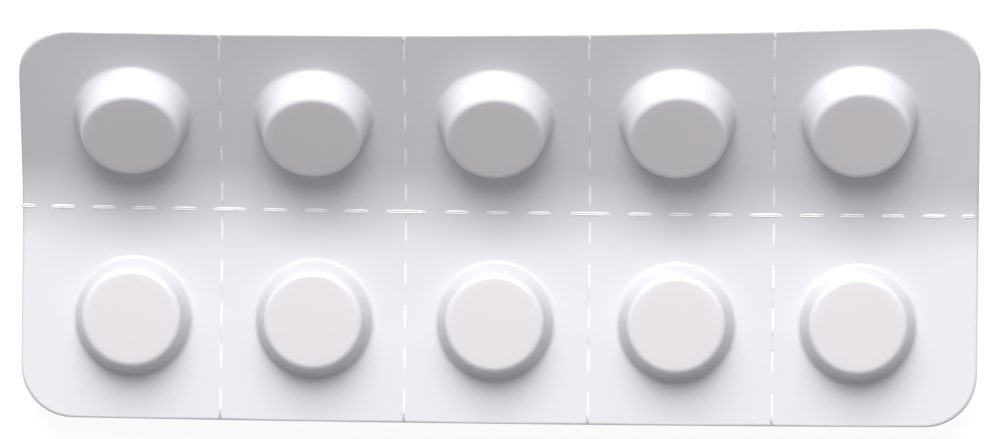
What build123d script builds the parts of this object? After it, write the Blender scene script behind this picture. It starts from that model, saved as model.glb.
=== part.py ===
from build123d import *
import math
import os

# Ten-pocket tablet blister card, bent along its centre perforation and lying foil side down.
# Millimetres, +X along the card, +Z up, origin under the centre of its box.

# ---- card ----
card_length = 92.7
card_width = 41.05             # measured flat, both halves together
sheet_thickness = 0.3          # formed film and lidding foil together
corner_radius = 5.0

# ---- how the card is bent ----
fold_radius = 13.3             # soft fold along the centre perforation
front_lift = 14.6              # degrees, the front half rises evenly
rear_lift_left = 21.0          # degrees, the rear half is twisted, so it rises less to the right
rear_lift_middle = 19.6
rear_lift_right = 11.5
arch_rise = 0.7                # the middle of the fold stands this far above its ends

# ---- pockets, one round flat-topped frustum for each tablet ----
pocket_columns = 5
pocket_pitch = 17.55
pocket_row_distance = 10.67    # fold line to the pocket centres, round the bend
pocket_array_offset = -0.38    # the forming tool sits slightly left of the card's middle
pocket_height = 3.4
pocket_top_diameter = 9.44     # where the wall would meet the flat top if there were no shoulder
pocket_wall_draft = 15.0       # degrees
shoulder_radius = 0.65
pocket_foot_radius = 0.5
pocket_rim_inset = 0.03        # the foot dips this far into the film so the two blend

# ---- perforation, rows of knife slits right through the sheet ----
cell_excess = 0.28             # a perforated cell is this much wider than the pocket pitch
perforation_offset = -0.21
slit_width = 0.14
slit_length = 2.75             # common slit along the fold
slit_gap = 1.18                # uncut bridge between two slits in the end cells
cell_slits = 3                 # common slits between two crossings
inner_crossing_slit = 4.6      # slits where a cross perforation meets the fold
outer_crossing_slit = 3.75
outer_crossing_shift = 0.75    # the outer crossing slits sit this much nearer the middle
cross_slit_start = 0.45        # fold line to the first slit of a cross perforation
cross_slit_length = 2.9
cross_slit_gap = 1.25

cell_pitch = pocket_pitch + cell_excess
half_length = card_length / 2
half_width = card_width / 2
trim = 1.0                     # the sheet is made this much too large, then cut to its outline


def along(x, left, middle, right):
    """Smooth value at x that takes the three given values at the left end, middle and right end."""
    t = x / half_length
    return middle + t * (right - left) / 2 + t * t * ((right + left) / 2 - middle)


def fold_height(x):
    """Height of the fold line over the lowest point of its two ends."""
    return along(x, 0, arch_rise, 0)


def rear_lift(x):
    return along(x, rear_lift_left, rear_lift_middle, rear_lift_right)


def round_the_bend(x, s, offset=0.0):
    """Y and Z of the sheet at length x and distance s from the fold, offset along its normal."""
    lift = math.radians(rear_lift(x) if s > 0 else front_lift)
    turn = math.copysign(min(abs(s) / fold_radius, lift), s)
    run = s - turn * fold_radius
    radius = fold_radius - offset
    y = radius * math.sin(turn) + run * math.cos(turn)
    z = fold_radius - radius * math.cos(turn) + run * math.sin(turn)
    return y, z + fold_height(x)


def on_sheet(x, s):
    """Frame on the middle of the sheet's thickness: X along the card, Z out of the pocket side."""
    step = 0.1
    y, z = round_the_bend(x, s)
    y_out, z_out = round_the_bend(x, s + step)
    y_in, z_in = round_the_bend(x, s - step)
    y_right, z_right = round_the_bend(x + step, s)
    y_left, z_left = round_the_bend(x - step, s)
    across = Vector(0, y_out - y_in, z_out - z_in)
    length_way = Vector(2 * step, y_right - y_left, z_right - z_left)
    return Plane(origin=(x, y, z), x_dir=length_way, z_dir=length_way.cross(across))


def sheet_section(x):
    """Outline of the bent sheet in the plane across the card at x."""
    rear_bend = math.radians(rear_lift(x)) * fold_radius
    front_bend = math.radians(front_lift) * fold_radius
    reach = half_width + trim
    stations = (-reach, -front_bend, 0, rear_bend, reach)
    top = [round_the_bend(x, s, sheet_thickness / 2) for s in stations]
    under = [round_the_bend(x, s, -sheet_thickness / 2) for s in stations]
    outline = [
        Line(top[0], top[1]),
        ThreePointArc(top[1], top[2], top[3]),
        Line(top[3], top[4]),
        Line(top[4], under[4]),
        Line(under[4], under[3]),
        ThreePointArc(under[3], under[2], under[1]),
        Line(under[1], under[0]),
        Line(under[0], top[0]),
    ]
    return Plane(origin=(x, 0, 0), x_dir=(0, 1, 0), z_dir=(1, 0, 0)) * make_face(outline)


def plan_corner(side, s):
    return side * half_length, round_the_bend(side * half_length, s)[0]


# ---- bent sheet, cut to the outline of the card seen from above ----
sheet = loft([sheet_section(x) for x in (-half_length - trim, 0, half_length + trim)])
rear_left, rear_right = plan_corner(-1, half_width), plan_corner(1, half_width)
front_left, front_right = plan_corner(-1, -half_width), plan_corner(1, -half_width)
rear_middle = (0, round_the_bend(0, half_width)[0])
plan = make_face([
    Line(front_left, front_right),
    Line(front_right, rear_right),
    ThreePointArc(rear_right, rear_middle, rear_left),
    Line(rear_left, front_left),
])
plan = fillet(plan.vertices(), corner_radius)
cutter_height = 3 * card_width
card = sheet & extrude(plan, cutter_height / 2, both=True)

# ---- pockets ----
wall_run = pocket_height * math.tan(math.radians(pocket_wall_draft))
top_radius = pocket_top_diameter / 2
foot_radius = top_radius + wall_run
rim_radius = foot_radius + pocket_foot_radius
profile = make_face(Polyline(
    (0, -sheet_thickness / 2),
    (rim_radius, -sheet_thickness / 2),
    (rim_radius, 0),
    (foot_radius, 0),
    (top_radius, pocket_height),
    (0, pocket_height),
    close=True,
))


def corner_near(shape, x, y):
    return min(shape.vertices(), key=lambda v: math.hypot(v.X - x, v.Y - y))


profile = fillet(corner_near(profile, top_radius, pocket_height), shoulder_radius)
profile = fillet(corner_near(profile, foot_radius, 0), pocket_foot_radius)
pocket = revolve(Plane.XZ * profile, Axis.Z)
pocket = Pos(0, 0, sheet_thickness / 2 - pocket_rim_inset) * pocket
middle_column = (pocket_columns - 1) / 2
columns = [pocket_array_offset + (i - middle_column) * pocket_pitch for i in range(pocket_columns)]
pockets = [
    on_sheet(x, s) * pocket
    for x in columns
    for s in (-pocket_row_distance, pocket_row_distance)
]
card = card + pockets



def spread(start, end):
    """Common slits at even gaps between two places on the fold, as (centre, length) pairs."""
    gap = (end - start - cell_slits * slit_length) / (cell_slits + 1)
    first = start + gap + slit_length / 2
    return [(first + i * (gap + slit_length), slit_length) for i in range(cell_slits)]


def fold_slits():
    """Slits along the whole fold, as (centre, length) pairs from the middle of the perforation."""
    inner = cell_pitch / 2
    inner_half = inner_crossing_slit / 2
    outer = 1.5 * cell_pitch - outer_crossing_shift
    outer_half = outer_crossing_slit / 2
    right = [(inner, inner_crossing_slit), (outer, outer_crossing_slit)]
    right += spread(inner + inner_half, outer - outer_half)
    centre = outer + outer_half + slit_gap + slit_length / 2
    while centre - slit_length / 2 < half_length + abs(perforation_offset):
        right.append((centre, slit_length))
        centre += slit_length + slit_gap
    left = [(-centre, length) for centre, length in right]
    return left + spread(inner_half - inner, inner - inner_half) + right


# ---- perforation ----
blade_height = 4 * sheet_thickness
slits = [
    on_sheet(perforation_offset + centre, 0) * Box(length, slit_width, blade_height)
    for centre, length in fold_slits()
]
cross_blade = Box(slit_width, cross_slit_length, blade_height)
cross_step = cross_slit_length + cross_slit_gap
cross_count = int((half_width - cross_slit_start + cross_slit_gap) / cross_step)
for i in range(pocket_columns - 1):
    x = perforation_offset + (i - (pocket_columns - 2) / 2) * cell_pitch
    for j in range(cross_count):
        s = cross_slit_start + cross_slit_length / 2 + j * cross_step
        slits += [on_sheet(x, side * s) * cross_blade for side in (-1, 1)]
card = card - slits

# ---- origin under the centre of the box ----
box = card.bounding_box()
card = Pos(-box.center().X, -box.center().Y, -box.min.Z) * card

os.makedirs("parts", exist_ok=True)
card.label = "blister_card"
export_step(card, "parts/blister_card.step")
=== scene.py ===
import math

import bpy
import numpy as np
from mathutils import Matrix, Vector


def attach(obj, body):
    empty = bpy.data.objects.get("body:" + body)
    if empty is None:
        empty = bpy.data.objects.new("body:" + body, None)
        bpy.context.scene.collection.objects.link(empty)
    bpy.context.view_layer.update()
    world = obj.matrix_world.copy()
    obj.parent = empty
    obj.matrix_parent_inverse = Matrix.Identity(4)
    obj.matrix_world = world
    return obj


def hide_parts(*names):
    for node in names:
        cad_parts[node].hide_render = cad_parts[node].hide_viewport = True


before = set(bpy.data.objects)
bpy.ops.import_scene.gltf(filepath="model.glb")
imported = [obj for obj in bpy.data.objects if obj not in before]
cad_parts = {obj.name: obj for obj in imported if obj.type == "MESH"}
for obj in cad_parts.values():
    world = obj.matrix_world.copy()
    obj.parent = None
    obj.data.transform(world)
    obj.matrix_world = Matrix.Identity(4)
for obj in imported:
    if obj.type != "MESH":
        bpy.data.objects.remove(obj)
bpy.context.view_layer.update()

# Tablet blister card, bent along its middle perforation. Metres, with +X along the card and +Z out of
# the pocket side. Shapes are worked out on the flat card, as x along it and s round the bend from the
# fold, and then bent.

mm = 0.001

# ---- card, as the CAD makes it ----
card_length = 92.7 * mm
card_width = 41.05 * mm
sheet_thickness = 0.3 * mm
foil_thickness = 0.04 * mm
corner_radius = 5.0 * mm
fold_radius = 13.3 * mm
front_lift = math.radians(14.6)
rear_lift_ends = (math.radians(21.0), math.radians(19.6), math.radians(11.5))
arch_rise = 0.7 * mm

pocket_pitch = 17.55 * mm
pocket_row_distance = 10.67 * mm
pocket_array_offset = -0.38 * mm
pocket_height = 3.4 * mm
pocket_top_radius = 4.72 * mm
pocket_wall_draft = math.radians(15.0)
shoulder_radius = 0.65 * mm
pocket_foot_radius = 0.5 * mm
crown_dome = 0.02 * mm
wall_hollow = 0.07 * mm
foil_dish = 0.06 * mm

cell_pitch = 17.83 * mm
perforation_offset = -0.21 * mm
slit_length = 2.75 * mm
slit_gap = 1.18 * mm
cell_slits = 3
inner_crossing_slit = 4.6 * mm
outer_crossing_slit = 3.75 * mm
outer_crossing_shift = 0.75 * mm
cross_slit_start = 0.45 * mm
cross_slit_length = 2.9 * mm
cross_slit_gap = 1.25 * mm
cross_slits = 5
fold_lip = (0.42 * mm, 0.085 * mm)    # width and rise
cross_lip = (0.26 * mm, 0.045 * mm)

weld_distance = 0.002 * mm
half_length = card_length / 2
half_width = card_width / 2
columns = [pocket_array_offset + (i - 2) * pocket_pitch for i in range(5)]
cross_lines = [perforation_offset + (i - 1.5) * cell_pitch for i in range(4)]
cell_edges = [-half_length] + cross_lines + [half_length]


# ---- the bend ----
def along(x, left, middle, right):
    """A parabola along the card through the values at its left end, middle and right end."""
    t = x / half_length
    return middle + t * (right - left) / 2 + t * t * ((right + left) / 2 - middle)


def middle_surface(x, s):
    """Flat place (x, s) on the bent card's middle surface: an arc about the fold as far as each half's
    lift, then straight on, with the fold itself arched along the card."""
    lift = np.where(s > 0, along(x, *rear_lift_ends), front_lift)
    turn = np.sign(s) * np.minimum(np.abs(s) / fold_radius, lift)
    run = s - turn * fold_radius
    y = fold_radius * np.sin(turn) + run * np.cos(turn)
    z = fold_radius * (1 - np.cos(turn)) + run * np.sin(turn) + along(x, 0, arch_rise, 0)
    return np.stack([x, y, z], axis=-1)


def bend(x, s, height):
    """The middle surface moved out by height along its normal, the cross product of its two slopes."""
    x, s, height = np.broadcast_arrays(np.asarray(x, float), s, height)
    step = 0.05 * mm
    length_way = middle_surface(x + step, s) - middle_surface(x - step, s)
    across = middle_surface(x, s + step) - middle_surface(x, s - step)
    normal = np.cross(length_way, across)
    normal /= np.linalg.norm(normal, axis=-1, keepdims=True)
    return middle_surface(x, s) + height[..., None] * normal


def origin_shift():
    """From the middle of the fold to the origin under the centre of the card's box."""
    x = np.linspace(-half_length, half_length, 181)[:, None]
    edges = bend(x, np.array([[-half_width, half_width]]), 0.0)
    under = bend(x, np.linspace(-6 * mm, 6 * mm, 121)[None, :], -sheet_thickness / 2)
    middle_y = (edges[..., 1].min() + edges[..., 1].max()) / 2
    return np.array([0.0, -middle_y, -under[..., 2].min()])


shift = origin_shift()


# ---- mesh making ----
def make_mesh(name, points, faces, attributes=None):
    """A smooth mesh object from whole arrays, with its place in its mesh and one number per point."""
    mesh = bpy.data.meshes.new(name)
    mesh.from_pydata((points + shift).tolist(), [], faces)
    for key, values in (attributes or {}).items():
        layer = mesh.attributes.new(key, "FLOAT", "POINT")
        layer.data.foreach_set("value", np.asarray(values, np.float32))
    mesh.polygons.foreach_set("use_smooth", np.ones(len(mesh.polygons), bool))
    mesh.update()
    piece = bpy.data.objects.new(name, mesh)
    bpy.context.scene.collection.objects.link(piece)
    return piece


def ring_quads(rings, count, first=0):
    """Quads between rings of count points, each ring closed on itself."""
    ring, place = np.meshgrid(np.arange(rings - 1), np.arange(count), indexing="ij")
    a = first + ring * count + place
    b = first + ring * count + (place + 1) % count
    return np.stack([a, b, b + count, a + count], axis=-1).reshape(-1, 4)


def thicken(piece, thickness):
    """A wall of that thickness behind the made surface."""
    solid = piece.modifiers.new("wall", "SOLIDIFY")
    solid.thickness = thickness
    solid.offset = -1.0
    solid.use_even_offset = False


side_points = 28


def side(start, end, count):
    """count places from start up to, but not including, end."""
    t = np.arange(count)[:, None] / count
    return np.array(start)[None, :] * (1 - t) + np.array(end)[None, :] * t


def rounded_corner(corner, before, after, count):
    """A quarter circle that replaces a corner, from the side that arrives to the side that leaves."""
    t = np.arange(count)[:, None] / count * math.pi / 2
    corner, before, after = (np.array(v, float) for v in (corner, before, after))
    centre = corner + corner_radius * (before + after)
    return centre - corner_radius * (after * np.cos(t) + before * np.sin(t))


def cell_outline(left, right, low, high):
    """Places round one cell, anticlockwise from its lower left, with the card's own corners rounded.
    A side without a rounded corner has side_points even steps, so neighbouring cells share points."""
    corners = [(left, low), (right, low), (right, high), (left, high)]
    ways = [np.array(w, float) for w in ((1, 0), (0, 1), (-1, 0), (0, -1))]
    outer = [abs(abs(x) - half_length) < 1e-9 and abs(abs(s) - half_width) < 1e-9 for x, s in corners]
    corner_points = 10
    pieces = []
    for i in range(4):
        start, end, way = np.array(corners[i]), np.array(corners[(i + 1) % 4]), ways[i]
        count = side_points
        if outer[i]:
            pieces.append(rounded_corner(corners[i], -ways[i - 1], way, corner_points))
            start = start + way * corner_radius
            count -= corner_points // 2
        if outer[(i + 1) % 4]:
            end = end - way * corner_radius
            count -= corner_points // 2
        pieces.append(side(start, end, count))
    return np.concatenate(pieces)


def cells():
    """Each cell's outline and its pocket's centre."""
    rows = ((-half_width, 0.0, -pocket_row_distance), (0.0, half_width, pocket_row_distance))
    for i, x in enumerate(columns):
        for low, high, s in rows:
            yield cell_outline(cell_edges[i], cell_edges[i + 1], low, high), (x, s)


# ---- pocket ----
def pocket_profile():
    """Radius and height from the middle of the flat top outwards: a barely domed top, the shoulder's
    arc, a wall that flares slightly, and the foot's hollow arc."""
    slope = math.pi / 2 - pocket_wall_draft
    tangent = math.tan(slope / 2)
    flat = pocket_top_radius - shoulder_radius * tangent
    foot = pocket_top_radius + pocket_height * math.tan(pocket_wall_draft)
    rim = foot + pocket_foot_radius * tangent
    t = np.linspace(0.12, 1, 6)
    top = np.stack([flat * t, pocket_height - crown_dome * t**2], axis=-1)
    turn = np.linspace(0, slope, 9)[1:]
    shoulder = np.stack([
        flat + shoulder_radius * np.sin(turn),
        pocket_height - crown_dome - shoulder_radius * (1 - np.cos(turn)),
    ], axis=-1)
    turn = np.linspace(slope, 0, 8)
    foot_arc = np.stack([
        rim - pocket_foot_radius * np.sin(turn),
        pocket_foot_radius * (1 - np.cos(turn)),
    ], axis=-1)
    t = np.linspace(0, 1, 7)[1:-1, None]
    wall = shoulder[-1] * (1 - t) + foot_arc[0] * t
    wall[:, 0] -= wall_hollow * np.sin(math.pi * t[:, 0])
    return np.concatenate([top, shoulder, wall, foot_arc])


profile = pocket_profile()
rim_radius = profile[-1, 0]
crown_radius = pocket_top_radius - 0.35 * mm


def weld(points, keys, faces, attributes):
    """Joins points whose flat places are the same, which are the shared edges of the cells."""
    places = np.round(keys / weld_distance)
    _, first, joined = np.unique(places, axis=0, return_index=True, return_inverse=True)
    joined = joined.reshape(-1)
    welded = [joined[list(face)].tolist() for face in faces]
    return points[first], welded, {key: values[first] for key, values in attributes.items()}


def sheet_mesh(name, inner, height):
    """One sheet over all the cells. Round each pocket the rings of inner are circles, and outside
    them the rings change evenly from the last circle to the cell's outline."""
    spread = np.array([0.06, 0.14, 0.25, 0.38, 0.52, 0.66, 0.78, 0.88, 0.95, 1.0])
    points, keys, faces, crown, sealed = [], [], [], [], []
    first = 0
    for outline, (x, s) in cells():
        place = outline - (x, s)
        way = place / np.linalg.norm(place, axis=1, keepdims=True)
        circles = inner[:, None, :1] * way[None]
        rest = (1 - spread)[:, None, None] * circles[-1][None] + spread[:, None, None] * place[None]
        flat = np.concatenate([circles, rest])
        rise = np.concatenate([inner[:, 1], np.zeros(len(spread))])[:, None] + np.zeros(len(way))
        flat = np.concatenate([np.zeros((1, 2)), flat.reshape(-1, 2)]) + (x, s)
        rise = np.concatenate([[inner[0, 1]], rise.reshape(-1)])
        points.append(bend(flat[:, 0], flat[:, 1], height + rise))
        keys.append(np.column_stack([flat, rise]))
        radius = np.linalg.norm(flat - (x, s), axis=1)
        # Marks the pocket tops, which the film's colour makes darker and pinker.
        crown.append(np.clip((crown_radius - radius) / (0.5 * mm) + 0.5, 0, 1) * (rise > pocket_height / 2))
        sealed.append(np.clip((radius - rim_radius) / (0.2 * mm), 0, 1))
        count = len(way)
        fan = np.arange(count)
        faces += [(first, first + 1 + a, first + 1 + (a + 1) % count) for a in fan.tolist()]
        quads = ring_quads(len(inner) + len(spread), count, first + 1)
        faces += [tuple(q) for q in quads[:, ::-1].tolist()]
        first += len(flat)
    points, faces, attributes = weld(
        np.concatenate(points), np.concatenate(keys), faces,
        {"crown": np.concatenate(crown), "sealed": np.concatenate(sealed)},
    )
    return make_mesh(name, points, faces, attributes)


# ---- slits ----
def spread_slits(start, end):
    """Common slits at even gaps between two places on the fold, as (centre, length) pairs."""
    gap = (end - start - cell_slits * slit_length) / (cell_slits + 1)
    return [(start + gap + slit_length / 2 + i * (gap + slit_length), slit_length) for i in range(cell_slits)]


def fold_slits():
    """Slits along the whole fold, as (centre, length) pairs from the middle of the perforation."""
    inner = cell_pitch / 2
    inner_half = inner_crossing_slit / 2
    outer = 1.5 * cell_pitch - outer_crossing_shift
    outer_half = outer_crossing_slit / 2
    right = [(inner, inner_crossing_slit), (outer, outer_crossing_slit)]
    right += spread_slits(inner + inner_half, outer - outer_half)
    centre = outer + outer_half + slit_gap + slit_length / 2
    while centre + slit_length / 2 < half_length:
        right.append((centre, slit_length))
        centre += slit_length + slit_gap
    last = half_length - (centre - slit_length / 2)
    right.append((half_length - last / 2, last))
    left = [(-centre, length) for centre, length in right]
    return left + spread_slits(inner_half - inner, inner - inner_half) + right


def cross_slit_places():
    """Middles of the slits of one cross perforation, round the bend from the fold."""
    step = cross_slit_length + cross_slit_gap
    first = cross_slit_start + cross_slit_length / 2
    return [side_way * (first + i * step) for i in range(cross_slits) for side_way in (-1, 1)]


def lip_body(x, s, length, along_fold, width, rise):
    """Raised lips of one slit: a closed section with two rounded ridges and a groove between them,
    carried along the slit and drawn in to a point at both ends."""
    top = sheet_thickness / 2
    section = np.array([
        (-1.0, -0.1), (-0.75, 0.5), (-0.45, 1.0), (-0.2, 0.75), (0.0, -0.5), (0.2, 0.75), (0.45, 1.0),
        (0.75, 0.5), (1.0, -0.1),
    ])
    ridge = np.column_stack([section[:, 0] * width / 2, top + section[:, 1] * rise])
    under = np.array([
        (0.3 * width, -top - 0.02 * mm),
        (0.0, -top + 0.01 * mm),
        (-0.3 * width, -top - 0.02 * mm),
    ])
    ring = np.concatenate([ridge, under])
    stations = 17
    t = np.cos(np.linspace(math.pi, 0, stations))
    narrow = np.sqrt(np.clip(1 - t**4, 0, 1))[:, None]
    w = ring[None, :, 0] * narrow
    height = ring[None, :, 1] * narrow
    place = (t * length / 2)[:, None] + np.zeros(len(ring))
    flat_x, flat_s = (x + place, s + w) if along_fold else (x - w, s + place)
    points = bend(flat_x, flat_s, height)
    return points.reshape(-1, 3), ring_quads(stations, len(ring))


def lips_mesh(name):
    """The lips of every slit as one mesh."""
    points, faces = [], []
    first = 0
    bodies = [
        lip_body(perforation_offset + centre, 0.0, length, True, *fold_lip)
        for centre, length in fold_slits()
    ]
    bodies += [
        lip_body(x, s, cross_slit_length, False, *cross_lip)
        for x in cross_lines for s in cross_slit_places()
    ]
    for body, quads in bodies:
        points.append(body)
        faces += [tuple(q) for q in (quads + first)[:, ::-1].tolist()]
        first += len(body)
    return make_mesh(name, np.concatenate(points), faces)


# ---- shader making ----
class Shade:
    """A shader socket that Python's operators work on."""

    def __init__(self, finish, socket):
        self.finish = finish
        self.socket = socket

    def math(self, operation, first, second):
        return self.finish.add("ShaderNodeMath", {"operation": operation}, {0: first, 1: second})

    def __add__(self, other):
        return self.math("ADD", self, other)

    def __sub__(self, other):
        return self.math("SUBTRACT", self, other)

    def __rsub__(self, other):
        return self.math("SUBTRACT", other, self)

    def __mul__(self, other):
        return self.math("MULTIPLY", self, other)

    __radd__ = __add__
    __rmul__ = __mul__


class Finish:
    """A material, or the world, whose nodes are added one by one."""

    def __init__(self, owner):
        owner.use_nodes = True
        self.owner = owner
        self.tree = owner.node_tree
        self.tree.nodes.clear()

    def add(self, kind, settings=None, inputs=None, output=0):
        node = self.tree.nodes.new(kind)
        for key, value in (settings or {}).items():
            setattr(node, key, value)
        for key, value in (inputs or {}).items():
            if isinstance(value, Shade):
                self.tree.links.new(value.socket, node.inputs[key])
            else:
                node.inputs[key].default_value = value
        return Shade(self, node.outputs[output])

    def mix(self, factor, first, second):
        """Colour between two, by a factor."""
        return self.add("ShaderNodeMix", {"data_type": "RGBA"}, {0: factor, 6: first, 7: second}, 2)

    def noise(self, scale, detail):
        place = self.add("ShaderNodeTexCoord", output=3)
        return self.add("ShaderNodeTexNoise", inputs={"Vector": place, "Scale": scale, "Detail": detail})

    def attribute(self, name):
        return self.add("ShaderNodeAttribute", {"attribute_name": name}, output=2)

    def close(self, shader):
        is_world = isinstance(self.owner, bpy.types.World)
        node = self.tree.nodes.new("ShaderNodeOutputWorld" if is_world else "ShaderNodeOutputMaterial")
        self.tree.links.new(shader.socket, node.inputs["Surface"])
        return self.owner


def film_finish():
    """Glossy opaque white film: faintly mottled, barely wavy, and darker and pinker on the pocket tops."""
    film = Finish(bpy.data.materials.new("milky_film"))
    cloud = film.noise(140, 3)
    grain = film.noise(2600, 2)
    mottled = film.mix(cloud, (0.63, 0.632, 0.665, 1), (0.665, 0.665, 0.69, 1))
    # The pocket tops are given a darker, pinker colour than the rest of the film.
    colour = film.mix(film.attribute("crown"), mottled, (0.61, 0.585, 0.605, 1))
    bump = film.add("ShaderNodeBump", inputs={
        "Strength": 0.5, "Distance": 0.012 * mm, "Height": cloud * 2.0 + grain * 0.25,
    })
    return film.close(film.add("ShaderNodeBsdfPrincipled", inputs={
        "Base Color": colour, "Roughness": 0.24 + 0.14 * cloud, "Normal": bump, "IOR": 1.5,
    }))


def lip_finish():
    """Film that the knife has stretched, which turns it whiter."""
    lip = Finish(bpy.data.materials.new("stretched_film"))
    cloud = lip.noise(1500, 2)
    colour = lip.mix(cloud, (0.8, 0.8, 0.83, 1), (0.93, 0.93, 0.95, 1))
    return lip.close(lip.add("ShaderNodeBsdfPrincipled", inputs={
        "Base Color": colour, "Roughness": 0.2 + 0.2 * cloud, "IOR": 1.5,
    }))


def foil_finish():
    """Aluminium foil with the sealing roller's fine diamond grid, smooth where it spans a pocket."""
    foil = Finish(bpy.data.materials.new("lidding_foil"))
    place = foil.add("ShaderNodeTexCoord", output=3)
    waves = [
        foil.add("ShaderNodeTexWave", {"bands_direction": way, "wave_profile": "SIN"}, {
            "Vector": place, "Scale": 330.0,
        }, 1)
        for way in ("X", "Y")
    ]
    crease = foil.noise(260, 4)
    height = waves[0] * waves[1] * foil.attribute("sealed") + crease * 0.8
    bump = foil.add("ShaderNodeBump", inputs={"Strength": 0.6, "Distance": 0.05 * mm, "Height": height})
    colour = foil.mix(crease, (0.74, 0.74, 0.75, 1), (0.84, 0.84, 0.85, 1))
    return foil.close(foil.add("ShaderNodeBsdfPrincipled", inputs={
        "Base Color": colour, "Metallic": 1.0, "Roughness": 0.28 + 0.14 * crease, "Normal": bump,
    }))


# ---- pieces ----
film = sheet_mesh("formed_film", profile, sheet_thickness / 2)
thicken(film, sheet_thickness - foil_thickness)
film.data.materials.append(film_finish())
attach(film, "root")
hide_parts("blister_card")

lips = lips_mesh("perforation_lips")
lips.data.materials.append(lip_finish())
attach(lips, "root")

reach = np.linspace(0.15, 1, 6)
dish = np.stack([reach * rim_radius, foil_dish * (1 - reach**2)], axis=-1)
foil = sheet_mesh("lidding_foil", dish, foil_thickness - sheet_thickness / 2)
thicken(foil, foil_thickness)
foil.data.materials.append(foil_finish())
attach(foil, "root")
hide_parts("blister_card")


# ---- camera ----
# From the part's frame to the view: the card's right end and its rear edge come nearer, and the picture
# rolls slightly.
side_lean = Matrix.Rotation(math.radians(-1.79), 3, "Y")
rear_lean = Matrix.Rotation(math.radians(15.6), 3, "X")
roll = Matrix.Rotation(math.radians(-0.17), 3, "Z")
view = roll @ rear_lean @ side_lean
fold_middle = Vector(shift.tolist())
aim = fold_middle + Vector((-0.036 * mm, -0.892 * mm, 0))
view_distance = 1.5


def in_view(right, up, near):
    """Place that many metres to the right, up and towards the viewer from the aim."""
    return aim + view.transposed() @ Vector((right, up, near))


lens = bpy.data.cameras.new("camera")
lens.lens = 556.9
lens.sensor_width = 36.0
lens.clip_end = 10.0
camera = bpy.data.objects.new("camera", lens)
bpy.context.scene.collection.objects.link(camera)
camera.matrix_world = Matrix.Translation(in_view(0, 0, view_distance)) @ view.transposed().to_4x4()
bpy.context.scene.camera = camera


# ---- lights ----
def soft_light(name, place, width, height, power):
    """A rectangular lamp that faces the card."""
    data = bpy.data.lights.new(name, "AREA")
    data.shape = "RECTANGLE"
    data.size, data.size_y = width, height
    data.energy = power
    lamp = bpy.data.objects.new(name, data)
    lamp.location = place
    lamp.rotation_euler = (aim - place).to_track_quat("-Z", "Y").to_euler()
    bpy.context.scene.collection.objects.link(lamp)


soft_light("softbox", in_view(-0.035, 0.45, 1.0), width=0.55, height=0.42, power=7.0)
soft_light("window", in_view(-0.1, 1.15, 0.95), width=1.2, height=0.9, power=22.0)

world = Finish(bpy.data.worlds.new("world"))
path = [world.add("ShaderNodeLightPath", output=name) for name in ("Is Camera Ray", "Is Transmission Ray")]
lit = world.add("ShaderNodeBackground", inputs={"Color": (0.30, 0.30, 0.31, 1)})
seen = world.add("ShaderNodeBackground", inputs={"Color": (1, 1, 1, 1)})
bpy.context.scene.world = world.close(world.add("ShaderNodeMixShader", inputs={
    0: path[0] + path[1], 1: lit, 2: seen,
}))


def floor_finish():
    """Matt white, shown as white to the camera apart from a share that still takes the shadow."""
    floor = Finish(bpy.data.materials.new("studio_floor"))
    rays = [
        floor.add("ShaderNodeLightPath", output=name)
        for name in ("Is Camera Ray", "Is Glossy Ray", "Is Transmission Ray")
    ]
    matt = floor.add("ShaderNodeBsdfDiffuse", inputs={"Color": (0.8, 0.8, 0.8, 1)})
    shaded = floor.add("ShaderNodeBsdfDiffuse", inputs={"Color": (0.16, 0.16, 0.16, 1)})
    glow = floor.add("ShaderNodeEmission", inputs={"Color": (0.9, 0.9, 0.9, 1)})
    white = floor.add("ShaderNodeAddShader", inputs={0: shaded, 1: glow})
    factor = rays[0] + rays[1] + rays[2]
    return floor.close(floor.add("ShaderNodeMixShader", inputs={0: factor, 1: matt, 2: white}))


half_floor = 1.0
floor_corners = [(x * half_floor, y * half_floor, 0) for x, y in ((-1, -1), (1, -1), (1, 1), (-1, 1))]
floor_mesh = bpy.data.meshes.new("floor")
floor_mesh.from_pydata(floor_corners, [], [(0, 1, 2, 3)])
floor = bpy.data.objects.new("floor", floor_mesh)
bpy.context.scene.collection.objects.link(floor)
floor.data.materials.append(floor_finish())

bpy.context.scene.view_settings.view_transform = "Standard"
